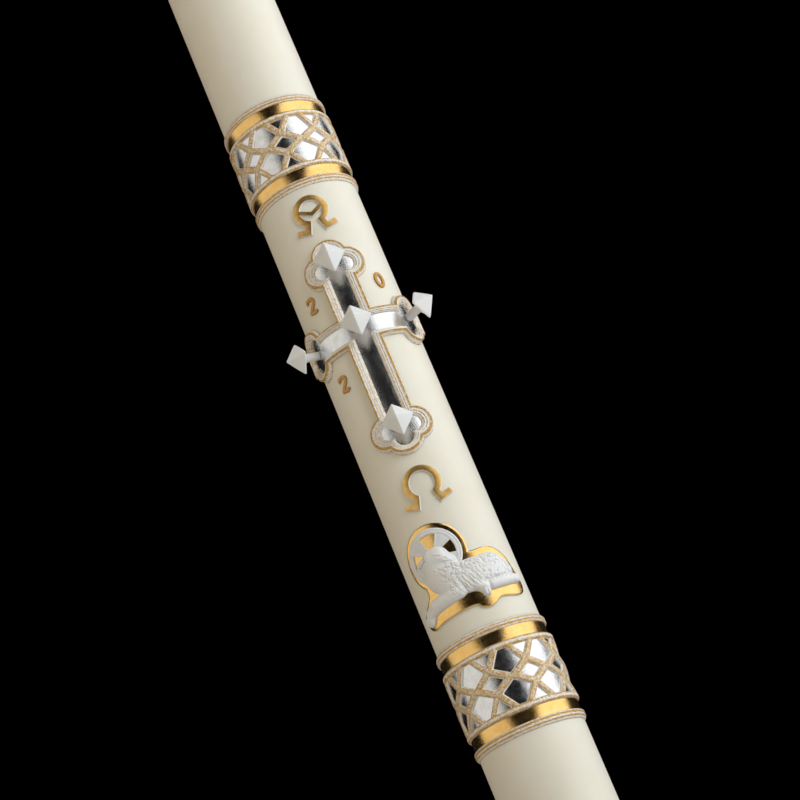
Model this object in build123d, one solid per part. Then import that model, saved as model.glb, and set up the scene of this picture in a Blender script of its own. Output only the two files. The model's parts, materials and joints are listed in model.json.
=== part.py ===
from build123d import *
from math import cos, degrees, hypot, pi, radians, sin, tan
import os

os.makedirs("parts", exist_ok=True)

# An altar (paschal) candle in ivory wax with applied wax and foil ornament. Millimetres, +Z up.
# The origin is the middle of the flat base, and the cross faces -Y.

# Candle body
candle_diameter = 76.2
candle_length = 1219.2
base_round = 1.5
top_round = 4.0
wick_diameter = 3.0
wick_start = 12.0  # wax left under the wick
wick_stand = 14.0  # wick above the wax

# Where the ornaments sit: heights above the base, and distances from the middle of the cross
cross_height = 737.6
upper_collar_rise = 158.4
lower_collar_drop = 272.4
alpha_rise = 99.4
omega_drop = 124.1
lamb_drop = 197.6

# Collars, from their middle outwards: lattice field, rim, gold band, bead
field_height = 39.0
rim_height = 4.9
band_height = 8.2
bead_height = 6.2
silver_rise = 0.6
band_rise = 0.9
lattice_rise = 2.6
bead_rise = 2.2
seat_depth = 0.6  # the collar's pieces sit in a shallow seat turned in the wax
lattice_repeats = 9
strand_width = 5.2
strand_dip = 40.0  # how round a strand is where it touches the waist line
strand_slope = 2.08  # steepness of a strand at the rim
upper_turn = 3.6  # degrees from the front to a lattice diamond
lower_turn = -13.4

# Cross
cross_turn = 0.5  # degrees
upright_width = 23.4
crossbar_width = 20.8
upright_channel = 12.0
crossbar_channel = 12.4
top_arm = 51.0  # middle of the cross to the side lobes of each arm's end
bottom_arm = 81.0
side_arm = 62.0  # degrees round the candle
lobe_radius = 11.3  # side lobes of the upright's ends
lobe_spread = 10.2
end_lobe_radius = 12.0
top_end_reach = 8.8
bottom_end_reach = 6.6
channel_spread = 8.6
channel_lobe = 5.8
channel_end_lobe = 6.6
arm_lobe_radius = 9.9  # the same for the crossbar's ends
arm_lobe_spread = 8.7
arm_end_reach = 8.8
arm_channel_spread = 6.2
arm_channel_lobe = 6.5
frame_rise = 4.6
inlay_rise = 1.0

# Incense nails
top_nail = 53.4  # heights from the middle of the cross
middle_nails = 0.8
bottom_nail = -79.6
right_nail_tilt = 10.0  # degrees: this one was pushed in pointing a little upwards
pin_diameter = 2.4
pin_depth = 20.0  # pin below the inlay's face
pin_in_wax = 8.0  # pin inside the shank
pin_clearance = 0.05
nail_gap = 0.06
shank_diameter = 6.2
shank_length = 10.5
neck_length = 3.5
head_corner = 12.0  # middle of the head to each corner
head_edge = 1.2
head_point = 10.5

# Letters: ring and leg points are measured from the middle of the letter's ring
letter_backing = 1.6
letter_face = 0.35
alpha_turn = 1.2  # degrees
alpha_radius = 10.4  # middle of the stroke
alpha_stroke = 3.9
alpha_leg = [(4.9, -9.4), (6.95, -15.5), (14.5, -13.2)]  # waist, foot, toe
alpha_bar = [(-8.7, 1.7), (0, -3.0), (8.7, 1.7)]
alpha_bar_stroke = 3.0
omega_turn = -2.1
omega_radius = 11.1
omega_stroke = 3.7
omega_leg = [(7.0, -8.4), (9.0, -14.5), (16.5, -11.5)]

# Numerals
numeral_stroke = 2.9
numeral_rise = 1.0
two_side = -41.5  # degrees from the cross
zero_side = 44.3
zero_across = 4.5
zero_up = 6.7
upper_numeral_rise = 33.2
lower_numeral_drop = 31.6

# Lamb
plate_backing = 1.3
plate_foil = 0.3
halo_radius = 19.7
halo_width = 3.5
halo_rise = 1.2
plate_margin = 3.8  # gold seen round the halo
lamb_rise = 4.2
fleece_rise = 1.6  # body and head above the legs
halo_arm = 5.0
halo_turn = -12.0  # degrees

# Worked out from the values above
radius = candle_diameter / 2
seat = radius - seat_depth
half_collar = field_height / 2 + rim_height + band_height + bead_height
inlay_face = radius + inlay_rise
pin_hole = pin_diameter / 2 + pin_clearance
pitch = 2 * pi * radius / lattice_repeats
nail_places = {  # degrees round the candle, height from the middle of the cross, upward tilt
    "top": (0, top_nail, 0),
    "left": (-side_arm, middle_nails, 0),
    "centre": (0, middle_nails, 0),
    "right": (side_arm, middle_nails, right_nail_tilt),
    "bottom": (0, bottom_nail, 0),
}


def ring(inner, outer, low, high):
    # wall between two radii and two heights, round the candle's axis
    wall = Cylinder(outer, high - low) - Cylinder(inner, high - low)
    return Pos(0, 0, (low + high) / 2) * wall


def turned(shape, angle):
    # angle in degrees round the candle from the front, towards +X
    return shape.rotate(Axis.Z, angle)


def block(face, rise, angle=0.0):
    # face drawn looking at the front (across, up), cut outwards from the axis and turned into place
    flat = Plane((0, 0, rise), x_dir=(1, 0, 0), z_dir=(0, -1, 0))
    return turned(extrude(flat * face, candle_diameter), angle)


def outline(points):
    return make_face(Polyline(*points, close=True))


def curved_across(points):
    # lengths measured round the wax become lengths measured straight across
    return [(radius * sin(across / radius), up) for across, up in points]


def save(shape, name, colour):
    # one STEP file for each piece, named after it
    shape.label = name
    shape.color = Color(*colour)
    export_step(shape, f"parts/{name}.step")


def make_shaft():
    shaft = Pos(0, 0, candle_length / 2) * Cylinder(radius, candle_length)
    shaft = fillet(shaft.edges().sort_by(Axis.Z)[-1], top_round)
    shaft = fillet(shaft.edges().filter_by(GeomType.CIRCLE).sort_by(Axis.Z)[0], base_round)
    wick_bore = Cylinder(wick_diameter / 2, candle_length)
    shaft -= Pos(0, 0, wick_start + candle_length / 2) * wick_bore
    for place in nail_places.values():
        shaft -= nail_hole(*place)
    for middle in (cross_height + upper_collar_rise, cross_height - lower_collar_drop):
        shaft -= ring(seat, candle_diameter, middle - half_collar, middle + half_collar)
    return shaft


def make_wick():
    length = candle_length + wick_stand - wick_start
    return Pos(0, 0, wick_start + length / 2) * Cylinder(wick_diameter / 2, length)


def nail_axis(angle, rise, tilt=0.0):
    # plane whose normal points out through the nail, inlay_face above the plane at the hole's mouth
    turn, lean = radians(cross_turn + angle), radians(tilt)
    level = (sin(turn), -cos(turn))
    drawn_back = inlay_face * (1 - cos(lean))
    origin = (drawn_back * level[0], drawn_back * level[1], cross_height + rise - inlay_face * sin(lean))
    upward = (-sin(lean) * level[0], -sin(lean) * level[1], cos(lean))
    outward = (cos(lean) * level[0], cos(lean) * level[1], sin(lean))
    return Plane(origin, x_dir=upward, z_dir=outward)


def nail_hole(angle, rise, tilt):
    # a little deeper than the pin
    start = inlay_face - pin_depth - 1
    hole = Cylinder(pin_hole, candle_diameter, align=(Align.CENTER, Align.CENTER, Align.MIN))
    return nail_axis(angle, rise, tilt) * Pos(0, 0, start) * hole


def make_nail(angle, rise, tilt):
    start = inlay_face + nail_gap + shank_diameter / 2 * tan(radians(tilt))
    shank = Pos(0, 0, start + shank_length / 2) * Cylinder(shank_diameter / 2, shank_length)
    neck_foot = start + shank_length
    head_foot = neck_foot + neck_length
    square = RegularPolygon(head_corner, 4, rotation=45).rotate(Axis.Z, 45)
    small = RegularPolygon(shank_diameter / 2, 4, rotation=45).rotate(Axis.Z, 45)
    neck = loft([Pos(0, 0, neck_foot) * small, Pos(0, 0, head_foot) * square])
    edge = extrude(Pos(0, 0, head_foot) * square, head_edge)
    tip = square.scale(0.02)
    point = loft([Pos(0, 0, head_foot + head_edge) * square,
                  Pos(0, 0, head_foot + head_edge + head_point) * tip])
    socket = Cylinder(pin_diameter / 2, pin_in_wax + 1)
    nail = shank + neck + edge + point
    nail -= Pos(0, 0, start - 1 + (pin_in_wax + 1) / 2) * socket
    return nail_axis(angle, rise, tilt) * nail


def make_pin(angle, rise, tilt):
    # pointed metal pin, half in the nail's shank and half in the candle
    low = inlay_face - pin_depth
    high = inlay_face + nail_gap + pin_in_wax
    taper = pin_diameter * 1.5
    body = Pos(0, 0, (low + taper + high) / 2) * Cylinder(pin_diameter / 2, high - low - taper)
    point = Pos(0, 0, low + taper / 2) * Cone(pin_diameter * 0.05, pin_diameter / 2, taper)
    return nail_axis(angle, rise, tilt) * (body + point)


def strand_middle(across):
    # height of a strand over the waist line, at a distance from where it touches the line
    return hypot(strand_dip, strand_slope * across) - strand_dip


def strand_half(across):
    # half the strand measured straight up at that distance
    lean = strand_slope**2 * across / hypot(strand_dip, strand_slope * across)
    return strand_width / 2 * hypot(1, lean)


def crossing(lower, upper, start, end):
    # where the lower edge of an opening meets its upper edge
    for _ in range(40):
        middle = (start + end) / 2
        if upper(middle) > lower(middle):
            start = middle
        else:
            end = middle
    return (start + end) / 2


def opening(lower, upper, reach, samples=5):
    # face between two edges that are mirrored about the middle
    steps = [reach * (count / samples - 1) for count in range(2 * samples + 1)]
    above = [(across, upper(abs(across))) for across in steps[1:-1]]
    below = [(across, lower(abs(across))) for across in steps]
    return outline(below + above[::-1])


def lattice_openings():
    # the kite, triangle and diamond between the strands, with each one's turn in lattice steps
    half = pitch / 2
    top = field_height / 2

    def kite_low(across):
        return strand_middle(across) + strand_half(across)

    def kite_high(across):
        return min(top, strand_middle(pitch - across) - strand_half(pitch - across))

    def triangle_low(across):
        return strand_middle(half + across) + strand_half(half + across)

    def diamond_high(across):
        return strand_middle(half - across) - strand_half(half - across)

    kite = opening(kite_low, kite_high, crossing(kite_low, kite_high, 0, half))
    triangle_reach = crossing(triangle_low, lambda across: top, 0, half)
    triangle = outline([(-triangle_reach, top), (0, triangle_low(0)), (triangle_reach, top)])
    diamond_reach = crossing(lambda across: 0, diamond_high, 0, half)
    diamond = opening(lambda across: -diamond_high(across), diamond_high, diamond_reach)
    upside_down = Rotation(0, 0, 180)
    return [(kite, 0.5), (upside_down * kite, 0.5), (triangle, 0), (upside_down * triangle, 0),
            (diamond, 0)]


def make_lattice(middle, turn):
    half = field_height / 2 + rim_height
    lattice = ring(radius + silver_rise, radius + lattice_rise, middle - half, middle + half)
    step = 360 / lattice_repeats
    cuts = []
    for face, offset in lattice_openings():
        for count in range(lattice_repeats):
            cuts.append(block(face, middle, turn + (count + offset) * step))
    return lattice - cuts


def make_collar(name, middle, turn):
    half_field = field_height / 2
    rim_end = half_field + rim_height
    band_end = rim_end + band_height
    silver = ring(seat, radius + silver_rise, middle - rim_end, middle + rim_end)
    save(silver, f"{name}_collar_silver_foil", (0.8, 0.8, 0.82))
    save(make_lattice(middle, turn), f"{name}_collar_lattice", (0.93, 0.91, 0.87))
    for place, side in (("top", 1), ("bottom", -1)):
        low, high = sorted((middle + side * rim_end, middle + side * band_end))
        band = ring(seat, radius + band_rise, low, high)
        save(band, f"{name}_collar_{place}_gold_band", (0.85, 0.65, 0.25))
        low, high = sorted((middle + side * band_end, middle + side * half_collar))
        bead = ring(seat, radius + bead_rise, low, high)
        rims = bead.edges().filter_by(GeomType.CIRCLE).sort_by(SortBy.RADIUS)[-2:]
        bead = fillet(rims, bead_rise * 0.6)
        save(bead, f"{name}_collar_{place}_bead", (0.92, 0.88, 0.8))


def lobe(size, angle, rise):
    # round rod pointing out from the candle's axis
    rod = Cylinder(size, candle_diameter, align=(Align.CENTER, Align.CENTER, Align.MIN))
    return nail_axis(angle, rise) * rod


def lobe_turn(length):
    # degrees round the candle for a length measured on the wax
    return degrees(length / radius)


def bar_round(width):
    # crossbar: a slab that wraps the front of the candle as far as the side nails
    reach = candle_diameter
    wedge = outline([(0, 0)] + [(reach * sin(radians(turn)), -reach * cos(radians(turn)))
                                for turn in (-side_arm, -side_arm / 3, side_arm / 3, side_arm)])
    slab = extrude(Pos(0, 0, cross_height - width / 2) * wedge, width)
    return turned(slab, cross_turn)


def upright_end(rise, end_rise, spread, side_lobe, end_lobe):
    # two side lobes, a round middle and an end lobe, above or below
    pieces = [lobe(spread, 0, rise), lobe(end_lobe, 0, end_rise)]
    for side in (-1, 1):
        pieces.append(lobe(side_lobe, side * lobe_turn(spread), rise))
    return pieces


def crossbar_end(angle, way, spread, side_lobe, reach, end_lobe):
    pieces = [lobe(spread, angle, 0), lobe(end_lobe, angle + way * lobe_turn(reach), 0)]
    for side in (-1, 1):
        pieces.append(lobe(side_lobe, angle, side * spread))
    return pieces


def cross_shape(upright, crossbar, upright_lobes, crossbar_lobes):
    # upright and crossbar with lobes at all four ends
    height = top_arm + bottom_arm
    bar = Pos(0, (top_arm - bottom_arm) / 2) * Rectangle(upright, height)
    pieces = [block(bar, cross_height, cross_turn), bar_round(crossbar)]
    pieces += upright_end(top_arm, top_arm + top_end_reach, *upright_lobes)
    pieces += upright_end(-bottom_arm, -bottom_arm - bottom_end_reach, *upright_lobes)
    pieces += crossbar_end(side_arm, 1, *crossbar_lobes) + crossbar_end(-side_arm, -1, *crossbar_lobes)
    return pieces[0].fuse(*pieces[1:])


def make_cross():
    low = cross_height - bottom_arm - 2 * end_lobe_radius
    high = cross_height + top_arm + 2 * end_lobe_radius
    outer = cross_shape(upright_width, crossbar_width,
                        (lobe_spread, lobe_radius, end_lobe_radius),
                        (arm_lobe_spread, arm_lobe_radius, arm_end_reach, end_lobe_radius))
    channel = cross_shape(upright_channel, crossbar_channel,
                          (channel_spread, channel_lobe, channel_end_lobe),
                          (arm_channel_spread, arm_channel_lobe, arm_end_reach, channel_end_lobe))
    frame = (ring(radius, radius + frame_rise, low, high) & outer) - channel
    inlay = ring(radius, inlay_face, low, high) & channel
    for place in nail_places.values():
        inlay -= nail_hole(*place)
    save(frame, "cross_frame", (0.93, 0.92, 0.9))
    save(inlay, "cross_silver_inlay", (0.8, 0.8, 0.82))


def make_nails():
    for name, place in nail_places.items():
        save(make_nail(*place), f"nail_{name}", (0.95, 0.95, 0.93))
        save(make_pin(*place), f"nail_{name}_pin", (0.7, 0.7, 0.72))


def stroke_face(path, width):
    # band of even width along a bent line, with mitred corners
    normals = []
    for start, end in zip(path, path[1:]):
        length = hypot(end[0] - start[0], end[1] - start[1])
        normals.append(((start[1] - end[1]) / length, (end[0] - start[0]) / length))
    left, right = [], []
    for (across, up), first, last in zip(path, normals[:1] + normals, normals + normals[-1:]):
        share = width / 2 / (1 + first[0] * last[0] + first[1] * last[1])
        x, y = share * (first[0] + last[0]), share * (first[1] + last[1])
        left.append((across + x, up + y))
        right.append((across - x, up - y))
    return outline(left + right[::-1])


def letter_outline(size, stroke, leg):
    # ring that is open between its two waists, with a leg and a foot below each of them
    reach = 3 * size
    waist_across, waist_up = leg[0]
    side = (waist_across / size * reach, waist_up / size * reach)
    face = Circle(size + stroke / 2) - Circle(size - stroke / 2)
    face -= outline([(0, 0), side, (-side[0], side[1])])
    for way in (-1, 1):
        face += stroke_face([(way * across, up) for across, up in leg], stroke)
    return face


def make_letter(name, face, rise, turn):
    # flat wax backing with a foil face
    height = cross_height + rise
    letter = block(face, height, turn)
    low, high = height - 30, height + 30
    step = radius + letter_backing
    backing = ring(radius, step, low, high) & letter
    foil = ring(step, step + letter_face, low, high) & letter
    save(backing, f"{name}_wax", (0.95, 0.94, 0.9))
    save(foil, f"{name}_gold_face", (0.85, 0.65, 0.25))


def make_letters():
    alpha = letter_outline(alpha_radius, alpha_stroke, alpha_leg)
    alpha += stroke_face(alpha_bar, alpha_bar_stroke)
    make_letter("alpha", alpha, alpha_rise, alpha_turn)
    omega = letter_outline(omega_radius, omega_stroke, omega_leg)
    make_letter("omega", omega, -omega_drop, omega_turn)


def numeral_two():
    # round head, a slanting back and a flat foot
    head = ThreePointArc((-4.2, 3.6), (0.6, 6.0), (4.0, 2.6))
    back = Line((4.0, 2.6), (-3.6, -5.4))
    foot = Line((-3.6, -5.4), (4.2, -5.4))
    return Wire([head.edge(), back.edge(), foot.edge()])


def make_numeral(name, face, rise, side):
    height = cross_height + rise
    digit = block(face, height, side + cross_turn)
    relief = ring(radius, radius + numeral_rise, height - 12, height + 12) & digit
    save(relief, name, (0.75, 0.5, 0.2))


def make_numerals():
    two = make_face(numeral_two().offset_2d(numeral_stroke / 2))
    zero = Ellipse(zero_across, zero_up)
    zero -= Ellipse(zero_across - numeral_stroke, zero_up - numeral_stroke)
    make_numeral("numeral_two_upper", two, upper_numeral_rise, two_side)
    make_numeral("numeral_zero", zero, upper_numeral_rise, zero_side)
    make_numeral("numeral_two_lower", two, -lower_numeral_drop, two_side)


halo_middle = (-12.9, 22.2)  # across and up, from the middle of the lamb

plate_points = [
    (10, 16.4), (22, 16.6), (30, 13.4), (36, 6.5), (38.5, -1.5), (41, -10), (41.5, -16), (39, -21),
    (33, -22.6), (20, -21.2), (14, -24.6), (9, -26), (4.5, -24.2), (1, -21.4), (-12, -21.4), (-25, -22),
    (-33, -23.4), (-38.5, -22), (-41.5, -16), (-40, -10.5), (-33.5, -5.5), (-28.5, -0.5), (-27, 8),
    (-13, 20),
]

body_points = [
    (-19, 8), (-6, 12), (4, 10), (14, 12.2), (22, 11.4), (29, 9), (34, 3.5), (36.4, -2), (36, -8),
    (28, -13.5), (14, -13.5), (0, -13), (-12, -12), (-18, -5), (-21, 2),
]

leg_outlines = {
    "foreleg": [(-17, -3.4), (-29, -5.2), (-37, -11.5), (-41, -15), (-36, -19.2), (-29, -20.6),
                (-26.5, -15.8), (-8, -13.5), (0, -12)],
    "folded_foreleg": [(4, -9), (12, -8), (15, -12.5), (12.8, -17.8), (8, -17.8), (5.6, -13)],
    "hind_leg": [(14, -10), (30, -8), (37, -7), (39.5, -11), (34, -14), (18, -15.8)],
}

head_points = [
    (-23, 27), (-18, 28.6), (-12, 29), (-6.5, 27.4), (-3.4, 22), (-2, 17), (3, 10.4), (-5, 5),
    (-16, 0), (-21, 4), (-25, 12), (-26.4, 19.5),
]


def smooth(points):
    return make_face(Spline(*curved_across(points), periodic=True))


def make_lamb():
    height = cross_height - lamb_drop
    low, high = height - 40, height + 60
    turn_to_halo = degrees(halo_middle[0] / radius)
    halo_height = height + halo_middle[1]
    halo_plate = block(Circle(halo_radius + plate_margin), halo_height, turn_to_halo)
    plate = block(smooth(plate_points), height) + halo_plate
    foil_foot = radius + plate_backing
    foil_top = foil_foot + plate_foil
    halo_top = foil_top + halo_rise
    save(ring(radius, foil_foot, low, high) & plate, "lamb_plate_wax", (0.95, 0.94, 0.9))
    save(ring(foil_foot, foil_top, low, high) & plate, "lamb_plate_gold", (0.85, 0.65, 0.25))

    legs = block(smooth(leg_outlines["foreleg"]), height)
    for name in ("folded_foreleg", "hind_leg"):
        legs += block(smooth(leg_outlines[name]), height)
    fleece = block(smooth(body_points), height) + block(smooth(head_points), height)
    lamb = ring(foil_top, foil_foot + lamb_rise, low, high) & (legs + fleece)
    raised = foil_foot + lamb_rise + fleece_rise
    lamb += ring(foil_top, raised, low, high) & fleece
    save(lamb, "lamb_relief", (0.95, 0.95, 0.93))

    hoop = Circle(halo_radius) - Circle(halo_radius - halo_width)
    arm_reach = 2 * halo_radius - halo_width
    arms = Rectangle(halo_arm, arm_reach) + Rectangle(arm_reach, halo_arm)
    halo = block(hoop + Rotation(0, 0, halo_turn) * arms, halo_height, turn_to_halo)
    halo = (ring(foil_top, halo_top, low, high) & halo) - lamb
    save(halo, "halo", (0.95, 0.95, 0.93))


save(make_shaft(), "candle_shaft", (0.93, 0.9, 0.83))
save(make_wick(), "wick", (0.95, 0.94, 0.9))
make_collar("upper", cross_height + upper_collar_rise, upper_turn)
make_collar("lower", cross_height - lower_collar_drop, lower_turn)
make_cross()
make_nails()
make_letters()
make_numerals()
make_lamb()
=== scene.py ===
import json
import math

import bmesh
import bpy
import numpy as np
from mathutils import Matrix, Vector


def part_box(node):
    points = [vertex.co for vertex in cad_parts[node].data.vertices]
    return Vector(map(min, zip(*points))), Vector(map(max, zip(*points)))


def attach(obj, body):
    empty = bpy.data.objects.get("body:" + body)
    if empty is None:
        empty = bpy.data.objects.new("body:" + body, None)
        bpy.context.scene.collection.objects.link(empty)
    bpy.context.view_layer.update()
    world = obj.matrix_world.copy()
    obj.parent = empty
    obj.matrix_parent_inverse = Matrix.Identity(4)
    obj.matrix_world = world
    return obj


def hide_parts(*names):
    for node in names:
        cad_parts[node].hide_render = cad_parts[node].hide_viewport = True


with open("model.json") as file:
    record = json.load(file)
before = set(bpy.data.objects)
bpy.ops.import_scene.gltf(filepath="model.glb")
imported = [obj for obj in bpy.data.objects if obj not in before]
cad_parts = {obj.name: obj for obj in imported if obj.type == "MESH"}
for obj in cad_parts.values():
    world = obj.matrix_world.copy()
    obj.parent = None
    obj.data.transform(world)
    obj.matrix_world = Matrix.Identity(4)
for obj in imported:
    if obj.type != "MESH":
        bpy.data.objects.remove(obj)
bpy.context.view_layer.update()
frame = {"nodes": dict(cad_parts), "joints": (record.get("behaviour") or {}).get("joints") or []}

mm = 0.001
pieceCount = 0
sunk = 0.4  # how deep the foot of an applied piece reaches into the wax, mm

candleLow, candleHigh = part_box("candle_shaft")
candleRadius = (candleHigh.x - candleLow.x) / 2 / mm
candleTop = candleHigh.z / mm


def middleOf(node):
    # angle round the candle and height of a CAD node's middle, in radians and mm
    low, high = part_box(node)
    middle = (low + high) / 2 / mm
    return math.atan2(middle.x, -middle.y), middle.z


def heightsOf(node):
    # lowest and highest point of a CAD node, in mm
    return (corner.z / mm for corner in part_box(node))


nailRise = dict(top=53.4, left=0.8, centre=0.8, right=0.8, bottom=-79.6)  # from the middle of the cross
inlayRise = 1.0
crossAngle, nailHeight = middleOf("nail_centre")
crossHeight = nailHeight - nailRise["centre"]
crossAcross = crossAngle * candleRadius


def turnMatrix(angle):
    # turn round Z, in radians
    cosine, sine = math.cos(angle), math.sin(angle)
    return np.array([[cosine, -sine, 0], [sine, cosine, 0], [0, 0, 1]])


def wrap(across, up, rise):
    # a flat drawing laid round the wax: across / radius is the angle, rise is added to the radius
    angle = across / candleRadius
    reach = candleRadius + rise
    return np.stack([reach * np.sin(angle), -reach * np.cos(angle), up + 0 * angle], -1) * mm


def gridFaces(rows, columns, closedRows=False, closedColumns=False):
    # quads between neighbouring grid points
    row = np.arange(rows if closedRows else rows - 1)
    column = np.arange(columns if closedColumns else columns - 1)
    row, column = np.meshgrid(row, column, indexing="ij")
    nextRow, nextColumn = (row + 1) % rows, (column + 1) % columns
    corners = [row * columns + column, row * columns + nextColumn,
               nextRow * columns + nextColumn, nextRow * columns + column]
    return np.stack(corners, -1).reshape(-1, 4)


def tubeFaces(rows, columns):
    # quads between rings of points, with the first and last ring closed by one face each
    faces = gridFaces(rows, columns, False, True).tolist()
    return faces + [list(range(columns)), list(range((rows - 1) * columns, rows * columns))]


def newMesh(name, points, faces, marks=None):
    # mesh from arrays with its faces turned outwards; marks are named numbers for each point
    mesh = bpy.data.meshes.new(name)
    mesh.from_pydata(points.tolist(), [], faces if isinstance(faces, list) else faces.tolist())
    for key, values in (marks or {}).items():
        layer = mesh.attributes.new(key, "FLOAT", "POINT")
        layer.data.foreach_set("value", np.ascontiguousarray(values, np.float32).ravel())
    build = bmesh.new()
    build.from_mesh(mesh)
    bmesh.ops.recalc_face_normals(build, faces=build.faces)
    build.to_mesh(mesh)
    build.free()
    return mesh


def addPiece(name, points, faces, material, body, stands, marks=None, sharp=35):
    # finished piece, riding on a body and standing for its CAD nodes
    global pieceCount
    mesh = newMesh(name, points, faces, marks)
    mesh.shade_smooth()
    if sharp:
        mesh.set_sharp_from_angle(angle=math.radians(sharp))
    mesh.materials.append(material)
    piece = bpy.data.objects.new(name, mesh)
    bpy.context.scene.collection.objects.link(piece)
    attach(piece, body)
    if stands:
        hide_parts(*stands)
    pieceCount += 1
    return piece


def joined(parts):
    # several (points, faces) sets as one
    points, faces, start = [], [], 0
    for partPoints, partFaces in parts:
        points.append(partPoints)
        faces += [[corner + start for corner in face] for face in partFaces]
        start += len(partPoints)
    return np.concatenate(points), faces


def turned(profile, segments=256):
    # surface of revolution: (radius, height) points of a closed profile at equal angles round Z
    angle = np.linspace(0, 2 * np.pi, segments, endpoint=False)
    radius, height = profile[:, :1], profile[:, 1:]
    points = np.stack([radius * np.sin(angle), -radius * np.cos(angle), height + 0 * angle], -1)
    return points.reshape(-1, 3) * mm, gridFaces(len(profile), segments, True, True)


def turnedSolid(profile, segments=256):
    # the same for a profile that starts and ends on the axis: each end closes in one point
    ring, _ = turned(profile[1:-1], segments)
    rows = len(profile) - 2
    faces = gridFaces(rows, segments, False, True).tolist()
    poles = np.array([[0, 0, profile[0, 1]], [0, 0, profile[-1, 1]]]) * mm
    low, high, last = len(ring), len(ring) + 1, (rows - 1) * segments
    for count in range(segments):
        after = (count + 1) % segments
        faces.append([low, after, count])
        faces.append([high, last + count, last + after])
    return np.concatenate([ring, poles]), faces


def mitred(path, closed):
    # sideways vector at each point: the two edge normals added and divided by 1 + their product,
    # so that a band keeps its width round a corner
    if closed:
        ahead = np.roll(path, -1, 0) - path
        behind = path - np.roll(path, 1, 0)
    else:
        edge = np.diff(path, axis=0)
        ahead = np.concatenate([edge, edge[-1:]])
        behind = np.concatenate([edge[:1], edge])
    normals = []
    for edge in (ahead, behind):
        length = np.linalg.norm(edge, axis=1, keepdims=True)
        normals.append(np.stack([-edge[:, 1], edge[:, 0]], 1) / length)
    product = (normals[0] * normals[1]).sum(1, keepdims=True)
    return (normals[0] + normals[1]) / (1 + product)


def band(path, widths, profile, centre=(0, 0)):
    # profile (share of the width, rise) carried along an open path on the wax, with closed ends
    side = mitred(path, False)
    flat = path[:, None] + side[:, None] * (profile[None, :, :1] * np.asarray(widths)[:, None, None])
    flat = flat + np.array(centre)
    points = wrap(flat[..., 0], flat[..., 1], profile[None, :, 1]).reshape(-1, 3)
    return points, tubeFaces(len(path), len(profile))


def fieldRelief(acrossRange, upRange, step, inside, rise, foot, closedRound=False):
    # relief over a flat grid: inside(across, up) is the distance to the edge, positive within it.
    # grid points near the edge move onto it, rise(across, up, distance) lifts the face,
    # and a wall runs from the edge down to the foot
    columns = max(3, round((acrossRange[1] - acrossRange[0]) / step))
    rows = max(3, round((upRange[1] - upRange[0]) / step))
    across = np.linspace(*acrossRange, columns, endpoint=not closedRound)
    up = np.linspace(*upRange, rows)
    across, up = np.meshgrid(across, up)
    distance = inside(across, up)
    small = step * 0.1
    slopeAcross = (inside(across + small, up) - inside(across - small, up)) / (2 * small)
    slopeUp = (inside(across, up + small) - inside(across, up - small)) / (2 * small)
    steep = np.maximum(slopeAcross**2 + slopeUp**2, 0.05)
    near = np.abs(distance) < 0.58 * step * np.sqrt(steep)
    across = across - np.where(near, distance * slopeAcross / steep, 0)
    up = up - np.where(near, distance * slopeUp / steep, 0)
    distance = np.where(near, 0, distance)
    kept = distance > -1e-9
    cells = gridFaces(rows, columns, False, closedRound)
    cells = cells[kept.ravel()[cells].all(1)]
    used, index = np.unique(cells, return_inverse=True)
    cells = index.reshape(-1, 4)
    a, u, d = (grid.ravel()[used] for grid in (across, up, distance))
    faceTop = wrap(a, u, rise(a, u, d))
    faceFoot = wrap(a, u, foot + 0 * a)
    count = len(used)
    edges = np.concatenate([cells[:, [k, (k + 1) % 4]] for k in range(4)])
    code = edges[:, 0] * count + edges[:, 1]
    back = edges[:, 1] * count + edges[:, 0]
    rim = edges[~np.isin(code, back)]
    walls = np.stack([rim[:, 1], rim[:, 0], rim[:, 0] + count, rim[:, 1] + count], 1)
    faces = np.concatenate([cells, cells[:, ::-1] + count, walls])
    return np.concatenate([faceTop, faceFoot]), faces, a, u, d


def softMax(first, second, blend):
    # the larger of two heights, rounded where they meet
    share = np.clip(0.5 + 0.5 * (first - second) / blend, 0, 1)
    return second * (1 - share) + first * share + blend * share * (1 - share)


def ramp(value, start, end):
    # smooth step from 0 to 1
    share = np.clip((value - start) / (end - start), 0, 1)
    return share * share * (3 - 2 * share)


def hump(value, middle, width):
    # bell curve: exp of minus ((value - middle) / width) squared
    return np.exp(-(((value - middle) / width) ** 2))


def fromLine(across, up, start, end):
    # share of the way along a straight line, from 0 to 1, and the distance from it
    edgeX, edgeY = end[0] - start[0], end[1] - start[1]
    share = ((across - start[0]) * edgeX + (up - start[1]) * edgeY) / (edgeX**2 + edgeY**2)
    share = np.clip(share, 0, 1)
    return share, np.hypot(across - start[0] - edgeX * share, up - start[1] - edgeY * share)


def ripple(across, up, size, seed):
    # slow random waves: sines in eight directions with seeded phases, between -1 and 1
    chance = np.random.default_rng(seed)
    total = 0
    for _ in range(8):
        turn, phase, scale = chance.uniform(0, 2 * np.pi), chance.uniform(0, 6.3), chance.uniform(0.6, 1.6)
        total = total + np.sin((across * np.cos(turn) + up * np.sin(turn)) * 6.28 * scale / size + phase)
    return total / 8


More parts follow.
